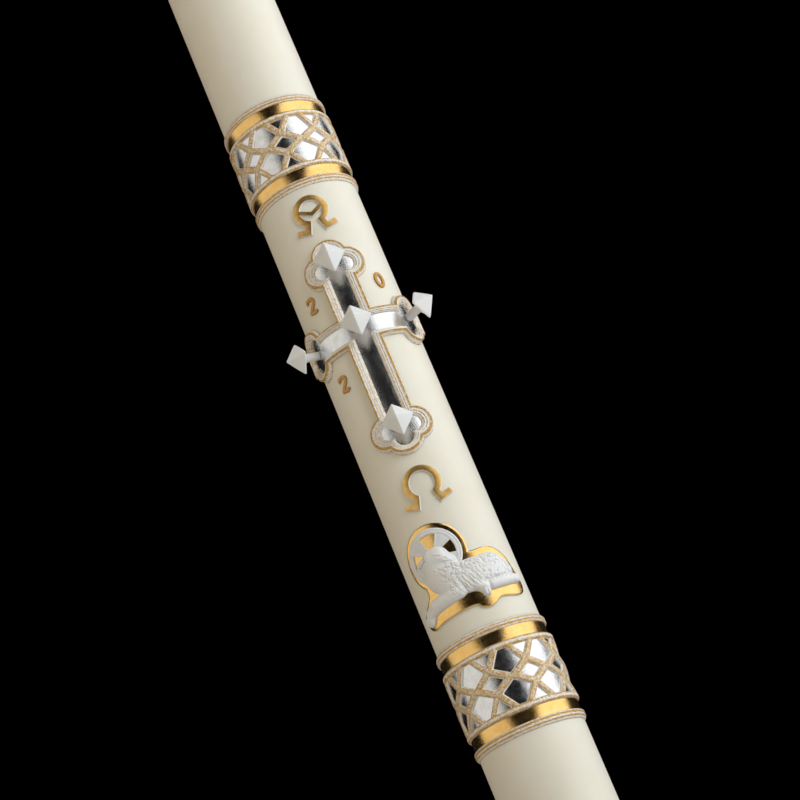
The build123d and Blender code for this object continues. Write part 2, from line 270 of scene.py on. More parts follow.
def curls(across, up, size, seed):
    # distance to the nearest of many scattered points, in cells, with a random number for that point
    chance = np.random.default_rng(seed)
    table = chance.random((64, 64, 3))
    column, row = np.floor(across / size).astype(int), np.floor(up / size).astype(int)
    nearest, mark = np.full(across.shape, 9.0), np.zeros(across.shape)
    for stepAcross in (-1, 0, 1):
        for stepUp in (-1, 0, 1):
            spot = table[(row + stepUp) % 64, (column + stepAcross) % 64]
            away = np.hypot(across / size - column - stepAcross - spot[..., 0],
                            up / size - row - stepUp - spot[..., 1])
            closer = away < nearest
            nearest, mark = np.where(closer, away, nearest), np.where(closer, spot[..., 2], mark)
    return nearest, mark


def setInputs(node, values):
    for key, value in values.items():
        node.inputs[key].default_value = value


def newMaterial(name):
    material = bpy.data.materials.new(name)
    material.use_nodes = True
    tree = material.node_tree
    tree.nodes.clear()
    output = tree.nodes.new("ShaderNodeOutputMaterial")
    shader = tree.nodes.new("ShaderNodeBsdfPrincipled")
    tree.links.new(shader.outputs[0], output.inputs[0])
    return material, tree, shader


def addNoise(tree, scale, detail=3, rough=0.5, stretch=(1, 1, 1)):
    place = tree.nodes.new("ShaderNodeTexCoord")
    mapping = tree.nodes.new("ShaderNodeMapping")
    mapping.inputs["Scale"].default_value = stretch
    noise = tree.nodes.new("ShaderNodeTexNoise")
    setInputs(noise, {"Scale": scale, "Detail": detail, "Roughness": rough})
    tree.links.new(place.outputs["Object"], mapping.inputs[0])
    tree.links.new(mapping.outputs[0], noise.inputs["Vector"])
    return noise.outputs["Fac"]


def addRamp(tree, source, stops):
    node = tree.nodes.new("ShaderNodeValToRGB")
    elements = node.color_ramp.elements
    while len(elements) < len(stops):
        elements.new(0.5)
    for element, (place, colour) in zip(elements, stops):
        element.position = place
        element.color = (*colour, 1) if not isinstance(colour, float) else (colour, colour, colour, 1)
    tree.links.new(source, node.inputs[0])
    return node.outputs[0]


def addMath(tree, kind, first, second):
    node = tree.nodes.new("ShaderNodeMath")
    node.operation = kind
    node.use_clamp = kind != "POWER"
    for socket, value in zip(node.inputs, (first, second)):
        if isinstance(value, (int, float)):
            socket.default_value = value
        else:
            tree.links.new(value, socket)
    return node.outputs[0]


def addMix(tree, share, first, second):
    node = tree.nodes.new("ShaderNodeMix")
    node.data_type = "RGBA"
    tree.links.new(share, node.inputs["Factor"])
    for socket, value in ((node.inputs["A"], first), (node.inputs["B"], second)):
        if isinstance(value, tuple):
            socket.default_value = (*value, 1)
        else:
            tree.links.new(value, socket)
    return node.outputs["Result"]


def addBump(tree, shader, height, strength, distance):
    bump = tree.nodes.new("ShaderNodeBump")
    setInputs(bump, {"Strength": strength, "Distance": distance})
    tree.links.new(height, bump.inputs["Height"])
    tree.links.new(bump.outputs[0], shader.inputs["Normal"])
    return bump


def waxMaterial(name, light, deep, glow, roughness, grain):
    # wax: soft light under the skin, faint clouding and a fine skin texture
    material, tree, shader = newMaterial(name)
    cloud = addNoise(tree, 22, 4)
    tree.links.new(addRamp(tree, cloud, [(0.3, deep), (0.7, light)]), shader.inputs["Base Color"])
    setInputs(shader, {"Roughness": roughness, "Subsurface Weight": glow,
                       "Subsurface Radius": (1.0, 0.72, 0.4), "Subsurface Scale": 0.006, "IOR": 1.44})
    addBump(tree, shader, addNoise(tree, 420, 3), grain, 0.0004)
    return material


def foilMaterial(name, bright, deep, roughness, grain):
    # foil pressed onto wax: clean metal with a fine crinkle
    material, tree, shader = newMaterial(name)
    blotch = addNoise(tree, 160, 5, 0.6)
    tree.links.new(addRamp(tree, blotch, [(0.35, deep), (0.6, bright)]), shader.inputs["Base Color"])
    shader.inputs["Metallic"].default_value = 1
    rough = addRamp(tree, addNoise(tree, 300, 4), [(0.3, roughness), (0.8, roughness + 0.12)])
    tree.links.new(rough, shader.inputs["Roughness"])
    crinkle = addBump(tree, shader, addNoise(tree, 1500, 4, 0.7), grain, 0.0003)
    streaks = addBump(tree, shader, addNoise(tree, 260, 2, 0.5, (0.4, 0.4, 4)), grain * 0.5, 0.0003)
    tree.links.new(crinkle.outputs[0], streaks.inputs["Normal"])
    return material


# the same settings also break up the painted shade on the numeral edges
brush = dict(grain=900, breakUp=3.2, start=1.7, full=2.5, shine=0.25)  # how the gold-brown paint takes


def brushedMaterial(name, wax, rubAndShade):
    # wax dry-brushed with paint: the piece's point attribute says how much, and noise breaks up
    # the edge of the paint. On the numerals that attribute is painted shade instead, darker at the stroke
    # edges
    material, tree, shader = newMaterial(name)
    mark = tree.nodes.new("ShaderNodeAttribute")
    mark.attribute_name = "rubAndShade"
    noise = addNoise(tree, brush["grain"], 5, 0.7)
    reach = tree.nodes.new("ShaderNodeMath")
    reach.operation = "MULTIPLY_ADD"
    reach.inputs[1].default_value = brush["breakUp"]
    tree.links.new(noise, reach.inputs[0])
    tree.links.new(mark.outputs["Fac"], reach.inputs[2])
    spread = tree.nodes.new("ShaderNodeMapRange")
    spread.interpolation_type = "SMOOTHSTEP"
    setInputs(spread, {"From Min": brush["start"], "From Max": brush["full"]})
    tree.links.new(reach.outputs[0], spread.inputs["Value"])
    amount = spread.outputs["Result"]
    tone = addRamp(tree, addNoise(tree, 800, 3), [(0.3, rubAndShade[0]), (0.7, rubAndShade[1])])
    tree.links.new(addMix(tree, amount, wax, tone), shader.inputs["Base Color"])
    tree.links.new(addMath(tree, "MULTIPLY", amount, brush["shine"]), shader.inputs["Metallic"])
    setInputs(shader, {"Roughness": 0.42, "Subsurface Weight": 0.12,
                       "Subsurface Radius": (1.0, 0.8, 0.6), "Subsurface Scale": 0.0015})
    addBump(tree, shader, addNoise(tree, 700, 4), 0.3, 0.0004)
    return material


def cottonMaterial():
    material, tree, shader = newMaterial("waxed_cotton")
    fibres = addNoise(tree, 2400, 3, 0.6, (1, 1, 0.25))
    colour = addRamp(tree, fibres, [(0.3, (0.62, 0.58, 0.47)), (0.7, (0.86, 0.83, 0.74))])
    tree.links.new(colour, shader.inputs["Base Color"])
    setInputs(shader, {"Roughness": 0.8, "Sheen Weight": 0.2})
    addBump(tree, shader, fibres, 0.6, 0.0004)
    return material


def steelMaterial():
    material, tree, shader = newMaterial("drawn_steel")
    drawn = addNoise(tree, 1500, 3)
    tree.links.new(addRamp(tree, drawn, [(0.3, (0.5, 0.5, 0.52)), (0.7, (0.7, 0.7, 0.72))]),
                   shader.inputs["Base Color"])
    setInputs(shader, {"Metallic": 1, "Roughness": 0.28})
    addBump(tree, shader, drawn, 0.1, 0.0002)
    return material


ivoryWax = waxMaterial("ivory_wax", (0.84, 0.80, 0.69), (0.80, 0.755, 0.63), 0.5, 0.42, 0.12)
whiteWax = waxMaterial("white_wax", (0.86, 0.855, 0.83), (0.80, 0.79, 0.76), 0.25, 0.5, 0.3)
nailWax = waxMaterial("nail_wax", (0.87, 0.87, 0.855), (0.83, 0.83, 0.81), 0.3, 0.45, 0.12)
# ochre wax for the numerals: its dark brown tone is painted shade, laid on the edges of each stroke
ochreWax = brushedMaterial("ochre_wax", (0.60, 0.31, 0.06), ((0.20, 0.08, 0.012), (0.34, 0.15, 0.03)))
goldFoil = foilMaterial("gold_foil", (0.98, 0.64, 0.24), (0.92, 0.56, 0.18), 0.15, 0.22)
goldLeaf = foilMaterial("gold_leaf", (0.95, 0.61, 0.22), (0.72, 0.42, 0.11), 0.28, 0.6)
silverFoil = foilMaterial("silver_foil", (0.86, 0.86, 0.865), (0.76, 0.76, 0.765), 0.15, 0.3)
brushedWax = brushedMaterial("brushed_wax", (0.86, 0.83, 0.77), ((0.44, 0.22, 0.025), (0.70, 0.42, 0.075)))
cotton = cottonMaterial()
steel = steelMaterial()
print("materials ready")


shaft = dict(topRound=4.0, baseRound=1.5, topDip=1.2, wickRise=1.4, wickSpread=3.2, boreRadius=1.25,
             boreDepth=22.0)


def arcPoints(centre, radius, start, end, count):
    angle = np.radians(np.linspace(start, end, count))
    return np.stack([centre[0] + radius * np.cos(angle), centre[1] + radius * np.sin(angle)], 1)


def makeShaft():
    low = arcPoints((candleRadius - shaft["baseRound"], shaft["baseRound"]), shaft["baseRound"], -90, 0, 6)
    high = arcPoints((candleRadius - shaft["topRound"], candleTop - shaft["topRound"]),
                     shaft["topRound"], 0, 90, 12)
    rings = np.linspace(shaft["baseRound"], candleTop - shaft["topRound"], 160)[1:-1]
    wall = np.stack([candleRadius + 0 * rings, rings], 1)
    face = np.linspace(candleRadius - shaft["topRound"], 1.0, 22)[1:]
    dish = shaft["topDip"] * np.sin(np.pi * face / (candleRadius - shaft["topRound"])) ** 2
    climb = shaft["wickRise"] * hump(face, 0, shaft["wickSpread"])
    top = np.stack([face, candleTop - dish + climb], 1)
    floor = np.stack([np.linspace(2, candleRadius - shaft["baseRound"], 8)[:-1], np.zeros(7)], 1)
    end = np.array([[0, top[-1, 1]]])
    profile = np.concatenate([[[0, 0]], floor, low, wall, high, top, end])
    profile[:, 1] = np.minimum(profile[:, 1], candleTop)
    points, faces = turnedSolid(profile)
    piece = addPiece("candleShaft", points, faces, ivoryWax, "candle", ["candle_shaft"])
    boreNails(piece)


def nailFrame(joint):
    # name of a nail, the mouth of its hole on the inlay, and the directions out, across and up
    name = joint["name"].split("_")[1]
    axis = np.array(joint["axis"])
    level = axis * (1, 1, 0) / math.hypot(axis[0], axis[1])
    mouth = level * (candleRadius + inlayRise) + (0, 0, crossHeight + nailRise[name])
    across = np.cross(level, (0, 0, 1))
    return name, mouth, axis, across, np.cross(across, axis)


def boreNails(piece):
    # the five nail holes are cut as round rods along the joints
    rods = []
    for joint in frame["joints"]:
        _, mouth, axis, across, upward = nailFrame(joint)
        angle = np.linspace(0, 2 * np.pi, 24, endpoint=False)
        ring = np.outer(np.cos(angle), across) + np.outer(np.sin(angle), upward)
        ring = ring * shaft["boreRadius"]
        ends = [mouth + ring + axis * reach for reach in (-shaft["boreDepth"], 3)]
        points = np.concatenate(ends) * mm
        rods.append((points, tubeFaces(2, len(angle))))
    rod = bpy.data.objects.new("boreRods", newMesh("boreRods", *joined(rods)))
    bpy.context.scene.collection.objects.link(rod)
    cut = piece.modifiers.new("bores", "BOOLEAN")
    cut.operation, cut.object, cut.solver = "DIFFERENCE", rod, "EXACT"
    bpy.context.view_layer.update()
    evaluated = piece.evaluated_get(bpy.context.evaluated_depsgraph_get())
    bored = bpy.data.meshes.new_from_object(evaluated)
    piece.modifiers.clear()
    piece.data = bored
    bored.shade_smooth()
    bored.set_sharp_from_angle(angle=math.radians(35))
    bpy.data.objects.remove(rod)


wick = dict(plaitRadius=0.62, strandRadius=0.72, turnLength=7.0, core=1.35, lean=1.6)


def tube(path, radius, sides=10):
    # round section carried along a smooth path in space, with closed ends
    ahead = np.gradient(path, axis=0)
    ahead /= np.linalg.norm(ahead, axis=1, keepdims=True)
    side = np.cross(ahead, (0.3, 0.9, 0.1))
    side /= np.linalg.norm(side, axis=1, keepdims=True)
    other = np.cross(ahead, side)
    angle = np.linspace(0, 2 * np.pi, sides, endpoint=False)
    radius = np.broadcast_to(radius, (len(path),))[:, None, None]
    ring = side[:, None] * np.cos(angle)[None, :, None] + other[:, None] * np.sin(angle)[None, :, None]
    points = (path[:, None] + ring * radius).reshape(-1, 3)
    return points, tubeFaces(len(path), sides)


def makeWick():
    # three strands that cross like a plait: x = sin(t), y = sin(2t), each a third of a turn on
    low, high = heightsOf("wick")
    height = np.linspace(candleTop - 3, high - 0.9, 70)
    bend = wick["lean"] * ((height - candleTop + 3) / (high - candleTop + 3)) ** 2 * 0.25
    parts = []
    for count in range(3):
        turn = 2 * np.pi * (height / wick["turnLength"] + count / 3)
        x = wick["plaitRadius"] * np.sin(turn) + bend
        y = 0.6 * wick["plaitRadius"] * np.sin(2 * turn)
        parts.append(tube(np.stack([x, y, height], 1) * mm, wick["strandRadius"] * mm))
    core = np.linspace(low, candleTop - 2.5, 12)
    parts.append(tube(np.stack([0 * core, 0 * core, core], 1) * mm, wick["core"] * mm))
    points, faces = joined(parts)
    addPiece("wickPlait", points, faces, cotton, "candle", ["wick"])


makeShaft()
makeWick()
print("shaft and wick made")


lattice = dict(field=39.0, rim=4.9, repeats=9, strand=(5.9, 4.9),  # strand width at the waist and the rim
               low=(0.67, -0.7), high=(1.45, -11.1), bend=0.5,  # slope and start of a strand's two runs
               foot=0.35, shoulder=2.1, crown=2.55, wall=0.8, crownFrom=1.9, blend=0.5, step=0.445)
goldBand = dict(rise=0.9, hollow=0.28)
silverRise, collarSegments = 0.6, 300
upperTurn, lowerTurn = math.radians(3.6), math.radians(-13.4)


def strandDistance(across, up):
    # how far inside the wax a point of the lattice is: half a strand less the distance to the
    # nearest strand. A strand climbs along the higher of two lines, slope x + start, with a soft bend
    pitch = 2 * np.pi * candleRadius / lattice["repeats"]
    x = np.abs((across / pitch - 0.5 - np.round(across / pitch - 0.5)) * pitch)
    level = np.abs(up)
    inside = np.full(x.shape, -9.0)
    waist, top = lattice["strand"]
    width = waist + (top - waist) * np.minimum(level * 2 / lattice["field"], 1)
    for reach in (x, pitch - x):
        (lowSlope, lowStart), (highSlope, highStart) = lattice["low"], lattice["high"]
        apart = ((highSlope - lowSlope) * reach + highStart - lowStart) / 2
        bend = np.hypot(apart, lattice["bend"])
        climb = (lowSlope + highSlope) / 2 * reach + (lowStart + highStart) / 2 + bend
        lean = (lowSlope + highSlope) / 2 + (highSlope - lowSlope) / 2 * apart / bend
        away = np.abs(level - climb) / np.hypot(1, lean)
        inside = softMax(inside, width / 2 - away, lattice["blend"])
    return softMax(inside, level - lattice["field"] / 2, lattice["blend"])


def makeLattice(collar, middle, turn):
    half = lattice["field"] / 2 + lattice["rim"]

    def inside(across, up):
        return np.minimum(strandDistance(across, up), half - np.abs(up))

    def rise(across, up, distance):
        wall = ramp(distance, -0.15, lattice["wall"])
        height = lattice["foot"] + (lattice["shoulder"] - lattice["foot"]) * wall
        height = height + (lattice["crown"] - lattice["shoulder"]) * ramp(
            distance, lattice["wall"], lattice["crownFrom"])
        rough = 0.12 * ripple(across, up, 5, 3) + 0.08 * ripple(across, up, 1.9, 5)
        return np.minimum(height + rough * wall, lattice["crown"])

    span = np.pi * candleRadius
    points, faces, across, up, distance = fieldRelief(
        (-span, span), (-half, half), lattice["step"], inside, rise, lattice["foot"] - 0.2, True)
    spin = turnMatrix(turn)
    points = points @ spin.T + np.array([0, 0, middle * mm])
    past = np.abs(up) - lattice["field"] / 2
    onTop = ramp(distance, 0.45, 0.9)
    rubAndShade = onTop * (0.56 + 0.36 * hump(distance, 0.9, 0.4))
    rimRub = 0.45 + 0.4 * hump(past, 0.9, 0.6) + 0.35 * hump(past, 4.0, 0.5) - 0.3 * hump(past, 2.7, 0.6)
    rubAndShade = np.where(past > 0.3, rimRub, rubAndShade) + 0.16 * ripple(across, up, 7, 11)
    rubAndShade = np.concatenate([rubAndShade, 0 * rubAndShade])
    addPiece(collar + "Lattice", points, faces, brushedWax, "candle",
             [collar + "_collar_lattice"], {"rubAndShade": rubAndShade}, 42)


def makeRing(name, profile, material, node, rubAndShade=None):
    points, faces = turned(profile, collarSegments)
    marks = {"rubAndShade": np.repeat(rubAndShade, collarSegments)} if rubAndShade is not None else None
    addPiece(name, points, faces, material, "candle", [node], marks, 50)


def makeBand(collar, place):
    # gold foil band, slightly hollow between two lips
    node = f"{collar}_collar_{place}_gold_band"
    low, high = heightsOf(node)
    share = np.linspace(0, 1, 19)
    height = low + (high - low) * share
    rise = goldBand["rise"] - goldBand["hollow"] * np.sin(np.pi * share) ** 0.7
    face = np.stack([candleRadius + rise, height], 1)
    profile = np.concatenate([[[candleRadius - sunk, low]], face, [[candleRadius - sunk, high]]])
    makeRing(f"{collar}{place.capitalize()}Gold", profile, goldFoil, node)


beadProfile = [  # share of the height from the gold side, rise above the wax, rub of gold-brown
    (0, 0.2, 0.2), (0.0, 1.5, 0.5), (0.05, 1.95, 0.4), (0.12, 2.15, 0.3), (0.2, 2.05, 0.62),
    (0.27, 1.78, 0.95), (0.34, 1.75, 0.9), (0.42, 1.98, 0.45), (0.5, 2.12, 0.2), (0.58, 2.05, 0.4),
    (0.66, 1.75, 0.85), (0.72, 1.45, 0.8), (0.78, 1.3, 0.3), (0.85, 1.0, 0.1), (0.92, 0.6, 0.3),
    (0.97, 0.25, 0.75), (1.0, 0.02, 0.6), (1.0, -sunk, 0.0)]


def makeBead(collar, place, outward):
    # wax bead: two round lines with a groove near the gold, then a slope down to the shaft
    node = f"{collar}_collar_{place}_bead"
    low, high = heightsOf(node)
    table = np.array(beadProfile)
    fine = np.linspace(0, len(table) - 1, 3 * len(table) - 2)
    table = np.stack([np.interp(fine, np.arange(len(table)), column) for column in table.T], 1)
    height = low + (high - low) * table[:, 0] if outward > 0 else high - (high - low) * table[:, 0]
    profile = np.stack([candleRadius + table[:, 1], height], 1)
    profile = np.concatenate([profile, [[candleRadius - sunk, profile[0, 1]]]])
    rubAndShade = np.append(table[:, 2], 0)
    makeRing(f"{collar}{place.capitalize()}Bead", profile, brushedWax, node, rubAndShade)


def makeSleeve(collar):
    node = f"{collar}_collar_silver_foil"
    low, high = heightsOf(node)
    height = np.linspace(low, high, 41)
    profile = np.stack([candleRadius + silverRise + 0 * height, height], 1)
    profile = np.concatenate([[[candleRadius - sunk, low]], profile, [[candleRadius - sunk, high]]])
    points, faces = turned(profile, collarSegments)
    around, up = np.arctan2(points[:, 0], -points[:, 1]) * candleRadius, points[:, 2] / mm
    dent = 0.015 * ripple(around, up, 6.5, 21) + 0.006 * ripple(around, up, 2.6, 22)
    points[:, :2] *= (1 + dent / candleRadius)[:, None]
    addPiece(collar + "Silver", points, faces, silverFoil, "candle", [node], None, 50)


for collar, turn in (("upper", upperTurn), ("lower", lowerTurn)):
    makeLattice(collar, middleOf(collar + "_collar_lattice")[1], turn)
    makeSleeve(collar)
    for place, outward in (("top", 1), ("bottom", -1)):
        makeBand(collar, place)
        makeBead(collar, place, outward)
print("collars made")


cross = dict(upright=(11.7, 6.0), crossbar=(10.4, 6.2), hole=1.45)  # half widths: outer edge, channel
inlay = dict(across=(-58, 58), up=(-96, 69), step=0.5, sag=0.05, foot=-0.3)
# length to the side lobes, then (outer edge, channel) of: side lobes, their spread, end lobe, its reach
uprightLobes = [(11.3, 5.8), (10.2, 8.6), (12.0, 6.6)]
crossbarLobes = [(9.9, 6.5), (8.7, 6.2), (12.0, 6.6), (8.8, 8.8)]
arms = {"right": (41.23, crossbarLobes), "top": (51.0, uprightLobes + [(8.8, 8.8)]),
        "left": (41.23, crossbarLobes), "bottom": (81.0, uprightLobes + [(6.6, 6.6)])}


def lerp(pair, share):
    return pair[0] + (pair[1] - pair[0]) * share


def armOutline(length, lobes, halfBar, innerCorner, share, barPoints):
    # one arm, pointing up, from its right inner corner round to its left one: bar, side lobe,
    # end lobe. Corners are where the bar and the circles cross
    lobe, spread, end, reach = (lerp(pair, share) for pair in lobes)
    barTop = length - math.sqrt(max(lobe**2 - (spread - halfBar) ** 2, 0))
    gap = math.hypot(spread, reach)
    along = (lobe**2 - end**2 + gap**2) / (2 * gap)
    off = math.sqrt(max(lobe**2 - along**2, 0))
    meet = np.array([spread - spread / gap * along + reach / gap * off,
                     reach / gap * along + spread / gap * off])
    firstAngle = math.degrees(math.atan2(barTop - length, halfBar - spread))
    meetAngle = math.degrees(math.atan2(meet[1], meet[0] - spread))
    endAngle = math.degrees(math.atan2(meet[1] - reach, meet[0]))
    rungs = np.linspace(0, 1, barPoints, endpoint=False)
    bar = np.stack([halfBar + 0 * rungs, innerCorner + (barTop - innerCorner) * rungs], 1)
    side = arcPoints((spread, length), lobe, firstAngle, meetAngle, 30)[:-1]
    cap = arcPoints((0, length + reach), end, endAngle, 90, 16)
    half = np.concatenate([bar, side, cap])
    mirror = half[-2:0:-1] * np.array([-1, 1])
    return np.concatenate([half, mirror])


def crossOutline(share):
    # closed outline of the cross: share 0 is the outer edge and 1 the channel, and every share
    # has the same number of points
    loops = []
    for name, turn in (("right", -90), ("top", 0), ("left", 90), ("bottom", 180)):
        upright = name in ("top", "bottom")
        halfBar = lerp(cross["upright" if upright else "crossbar"], share)
        corner = lerp(cross["crossbar" if upright else "upright"], share)
        arm = armOutline(*arms[name], halfBar, corner, share, 50 if name == "bottom" else 30)
        angle = math.radians(turn)
        spin = np.array([[math.cos(angle), -math.sin(angle)], [math.sin(angle), math.cos(angle)]])
        loops.append(arm @ spin.T)
    return np.concatenate(loops)


frameProfile = [  # share of the border, rise above the wax, rub of gold-brown
    (-0.38, -sunk, 0.0), (-0.34, 0.0, 0.95), (-0.27, 0.7, 0.3), (-0.13, 2.2, 0.0), (-0.08, 3.0, 0.5),
    (-0.02, 4.05, 0.95), (0.03, 4.42, 1.05), (0.1, 4.58, 1.05), (0.17, 4.5, 0.9), (0.22, 4.2, 0.4),
    (0.26, 3.8, 0.1), (0.31, 3.6, 0.0), (0.38, 3.74, 0.0), (0.45, 3.68, 0.3), (0.5, 3.36, 0.5),
    (0.54, 3.0, 0.1), (0.6, 2.93, 0.0), (0.66, 3.02, 0.1), (0.72, 2.9, 0.4), (0.76, 2.5, 0.4),
    (0.81, 2.12, 0.0), (0.88, 1.98, 0.1), (0.94, 1.6, 0.55), (0.99, 1.1, 0.4), (1.03, 0.5, 0.0),
    (1.03, -sunk, 0.0)]


def makeFrame():
    flat = np.stack([crossOutline(share) for share, _, _ in frameProfile])
    across, up = flat[..., 0], flat[..., 1]
    rise = np.array([station[1] for station in frameProfile])[:, None]
    points = wrap(across + crossAcross, up + crossHeight, rise + 0 * across)
    rubAndShade = np.array([station[2] for station in frameProfile])[:, None]
    broken = 0.4 * ripple(across, up, 8, 41) + 0.5 * ripple(across, up, 3, 42)
    rubAndShade = (rubAndShade + broken * (rubAndShade > 0.3)).ravel()
    faces = gridFaces(*across.shape, True, True)
    addPiece("crossFrame", points.reshape(-1, 3), faces, brushedWax, "candle",
             ["cross_frame"], {"rubAndShade": rubAndShade}, 38)


def channelInside(across, up):
    # distance inside the channel: the largest over its bars and lobes, less the nail holes
    upright, bar = cross["upright"][1], cross["crossbar"][1]
    top, bottom, side = arms["top"][0], arms["bottom"][0], arms["right"][0]
    inside = np.minimum(upright - np.abs(across), np.minimum(top - up, up + bottom))
    inside = np.maximum(inside, np.minimum(bar - np.abs(up), side - np.abs(across)))
    for name, (outX, outY) in (("right", (1, 0)), ("top", (0, 1)), ("left", (-1, 0)), ("bottom", (0, -1))):
        length, lobes = arms[name]
        lobe, spread, end, reach = (pair[1] for pair in lobes)
        x, y = outX * length, outY * length
        discs = [(x, y, spread), (x + outX * reach, y + outY * reach, end)]
        discs += [(x + way * outY * spread, y + way * outX * spread, lobe) for way in (-1, 1)]
        for discX, discY, size in discs:
            inside = np.maximum(inside, size - np.hypot(across - discX, up - discY))
    for name, rise in nailRise.items():
        x = {"left": -side, "right": side}.get(name, 0)
        inside = np.minimum(inside, np.hypot(across - x, up - rise) - cross["hole"])
    return inside


def makeInlay():
    def rise(across, up, distance):
        crinkle = 0.02 * ripple(across, up, 7, 31) + 0.006 * ripple(across, up, 2.5, 32)
        return np.minimum(inlayRise - inlay["sag"] + crinkle, inlayRise)

    points, faces, *_ = fieldRelief(
        inlay["across"], inlay["up"], inlay["step"], channelInside, rise, inlay["foot"])
    points = points @ turnMatrix(crossAngle).T + np.array([0, 0, crossHeight * mm])
    addPiece("crossInlay", points, faces, silverFoil, "candle", ["cross_silver_inlay"])


makeFrame()
makeInlay()
print("cross made")


nail = dict(foot=0.06, shank=3.1, shankLength=10.5, neck=3.5, corner=11.9, edge=0.9, point=10.6, sides=96)


def squareSection(angle, sharpness):
    # reach of a shape between a circle (0) and a square standing on its corner (1), with soft corners
    square = 1 / (np.abs(np.cos(angle)) ** 1.04 + np.abs(np.sin(angle)) ** 1.04) ** (1 / 1.04)
    return (1 - sharpness) + sharpness * square


def makeNail(joint):
    # profile along the nail: distance from the hole's mouth, size to the corners and how square
    # the section is
    name, mouth, axis, across, upward = nailFrame(joint)
    low = nail["foot"] + nail["shank"] * abs(axis[2]) / math.hypot(axis[0], axis[1])
    neckStart = low + nail["shankLength"]
    headStart = neckStart + nail["neck"]
    out = [low, low + 0.3, low + 0.31, neckStart - 3, neckStart - 1.2]
    size = [nail["shank"] - 0.3, nail["shank"], nail["shank"], nail["shank"], nail["shank"] + 0.1]
    square = [0, 0, 0, 0, 0.05]
    rise = np.linspace(0, 1, 12)
    out += list(neckStart - 1 + (nail["neck"] + 1) * rise)
    size += list(nail["shank"] + 0.12 + (nail["corner"] - nail["shank"] - 0.3) * rise**2.3)
    square += list(0.08 + 0.92 * ramp(rise, 0.0, 0.75))
    out += [headStart + 0.15, headStart + nail["edge"] * 0.5, headStart + nail["edge"]]
    size += [nail["corner"] + 0.03, nail["corner"] + 0.05, nail["corner"] - 0.05]
    square += [1, 1, 1]
    slope = np.linspace(0.03, 1, 16)
    out += list(headStart + nail["edge"] + nail["point"] * slope)
    size += list(nail["corner"] * (1 - slope) + 0.02 + 0.22 * np.sin(np.pi * np.clip(slope, 0, 1)) ** 0.5)
    square += [1] * 16
    out, size, square = (np.array(values)[:, None] for values in (out, size, square))
    angle = np.linspace(0, 2 * np.pi, nail["sides"], endpoint=False)[None]
    reach = size * squareSection(angle, square)
    points = mouth + out[..., None] * axis + (reach * np.cos(angle))[..., None] * across
    points = (points + (reach * np.sin(angle))[..., None] * upward) * mm
    rows, columns = points.shape[:2]
    addPiece("nail" + name.capitalize(), points.reshape(-1, 3), tubeFaces(rows, columns), nailWax,
             joint["child"], ["nail_" + name], None, 28)


for joint in frame["joints"]:
    makeNail(joint)
for node, thing in frame["nodes"].items():
    if node.endswith("_pin"):
        thing.data.materials.clear()
        thing.data.materials.append(steel)
print("nails made")


letter = dict(wax=1.6, foil=0.32, lap=0.6)  # the gold face laps down over the wax
alpha = dict(size=10.4, top=3.9, side=4.5, waist=(4.9, -9.4), foot=(6.95, -15.5), toe=(14.5, -13.2),
             barEnd=(8.7, 1.7), barDip=-3.0, barWidth=3.0)
omega = dict(size=11.1, top=3.7, side=4.7, waist=(7.0, -8.4), foot=(9.0, -14.5), toe=(16.5, -11.5))


def letterPath(shape):
    # toe, foot, waist, round the ring and back: the ring is one arc between the two waists
    waist = math.degrees(math.atan2(shape["waist"][1], shape["waist"][0]))
    ring = arcPoints((0, 0), shape["size"], waist, 180 - waist, 64)
    legs = np.array([shape["toe"], shape["foot"]])
    path = np.concatenate([legs, ring, legs[::-1] * np.array([-1, 1])])
    lean = np.abs(path[:, 0]) / shape["size"]
    widths = shape["top"] + (shape["side"] - shape["top"]) * np.clip(lean, 0, 1) ** 2
    widths[[0, -1]] = shape["top"]
    return path, widths


def ribbon(low, high, inset, lip):
    # section of a flat stroke: straight sides and softened upper edges, as shares of its width
    side = 0.5 - inset
    corner = 0.5 - inset - lip
    return np.array([(-side, low), (-side, high - 0.22), (-side + lip * 0.3, high - 0.07), (-corner, high),
                     (0, high), (corner, high), (side - lip * 0.3, high - 0.07), (side, high - 0.22),
                     (side, low)])


def makeLetter(name, node, shape, extras):
    angle, _ = middleOf(node + "_gold_face")
    low, high = heightsOf(node + "_gold_face")
    centre = (angle * candleRadius, high - shape["size"] - shape["top"] / 2)
    strokes = [letterPath(shape)] + extras
    waxTop = letter["wax"]
    waxSection = ribbon(-sunk, waxTop, -0.06, 0.08)
    goldSection = ribbon(waxTop - letter["lap"], waxTop + letter["foil"], 0.0, 0.14)
    for suffix, ending, section, material, slotName in (
            ("Wax", "_wax", waxSection, whiteWax, "white_wax"),
            ("Gold", "_gold_face", goldSection, goldLeaf, "gold_foil")):
        points, faces = joined([band(path, widths, section, centre) for path, widths in strokes])
        addPiece(name + suffix, points, faces, material, "candle", [node + ending], None, 25)


barPath = np.array([(-alpha["barEnd"][0], alpha["barEnd"][1]), (0, alpha["barDip"]), alpha["barEnd"]])
makeLetter("alpha", "alpha", alpha, [(barPath, np.full(3, alpha["barWidth"]))])
makeLetter("omega", "omega", omega, [])

# the last number is painted shade: how dark the edges of each numeral stroke are coloured
numeral = dict(stroke=3.0, rise=1.2, edgeShade=0.75)


def roundSection(width, rise, count=12):
    # half-round section with a foot inside the wax
    angle = np.linspace(0, np.pi, count)
    arch = np.stack([-0.5 * np.cos(angle), rise * np.sin(angle) ** 0.8], 1)
    return np.concatenate([[(-0.5, -sunk)], arch, [(0.5, -sunk)]])


